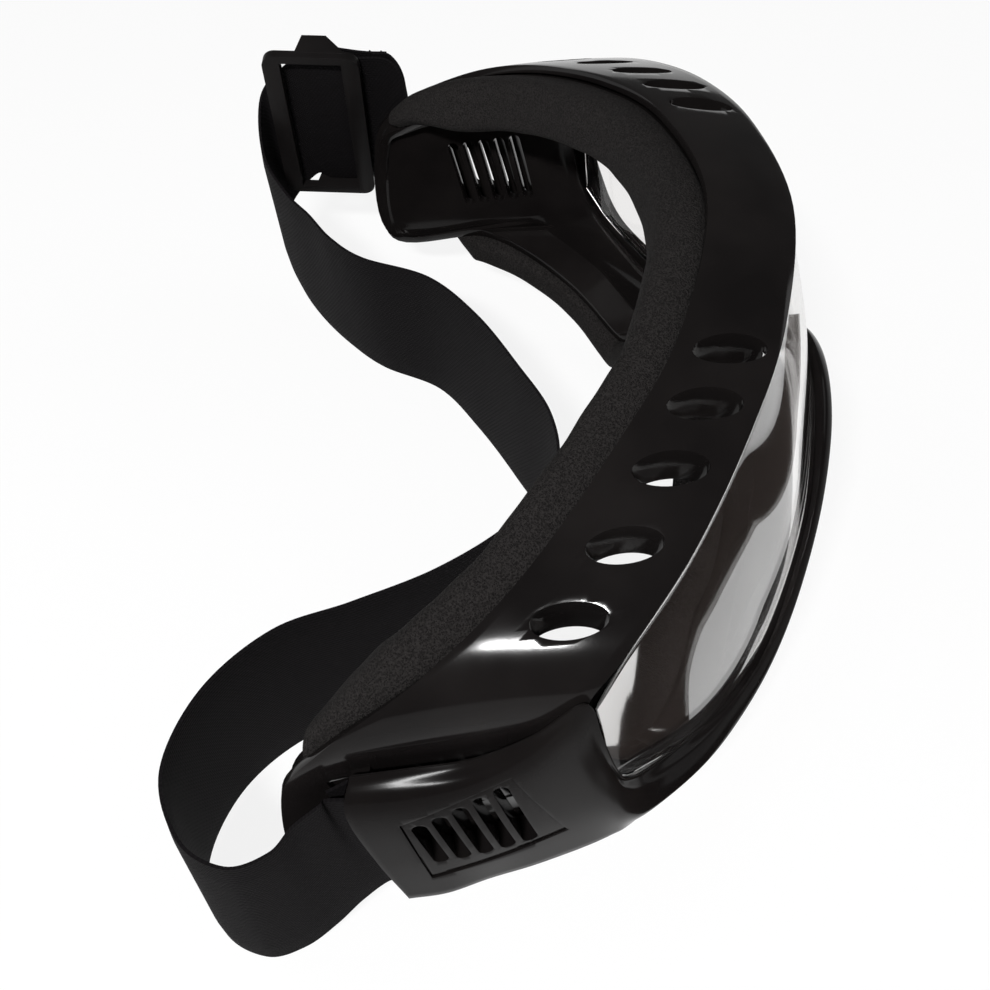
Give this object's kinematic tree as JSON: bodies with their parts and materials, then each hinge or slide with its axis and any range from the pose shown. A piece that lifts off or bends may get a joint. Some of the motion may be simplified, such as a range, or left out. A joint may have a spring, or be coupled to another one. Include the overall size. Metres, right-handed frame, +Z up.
{
  "type": "airsoft goggles",
  "caption": "Wraparound airsoft goggles: a clear lens in a vented black frame with face foam, side louvres and an elastic strap with a slider.",
  "frame": {"origin": "on the table plane that the goggles stand on, in the plane of symmetry of the frame, under the eye space", "axes": "+X to the wearer's left, -Y out through the lens, +Y to the back of the head, +Z up as worn"},
  "size_m": [0.1913, 0.1214, 0.0927],
  "materials": {
    "frame_plastic": "satin moulded",
    "bezel_plastic": "semi-gloss moulded",
    "clear_lens": "clear, polished",
    "face_foam": "open-cell foam, matt",
    "vent_plastic": "satin moulded",
    "webbing": "woven elastic",
    "slider_plastic": "satin moulded"
  },
  "bodies": {
    "goggles": {"frame": "frame_plastic", "bezel": "bezel_plastic", "lens": "clear_lens", "face_foam_upper": "face_foam", "face_foam_lower": "face_foam", "vent_louver_left": "vent_plastic", "vent_louver_right": "vent_plastic", "strap": "webbing"},
    "slider_body": {"slider": "slider_plastic", "strap_end_loop": "webbing"}
  },
  "joints": [
    {"name": "slider_slide", "type": "slide", "parent": "goggles", "child": "slider_body", "axis": [-0.0294, -0.999, -0.0345], "range_m": [0, 0.005]}
  ]
}
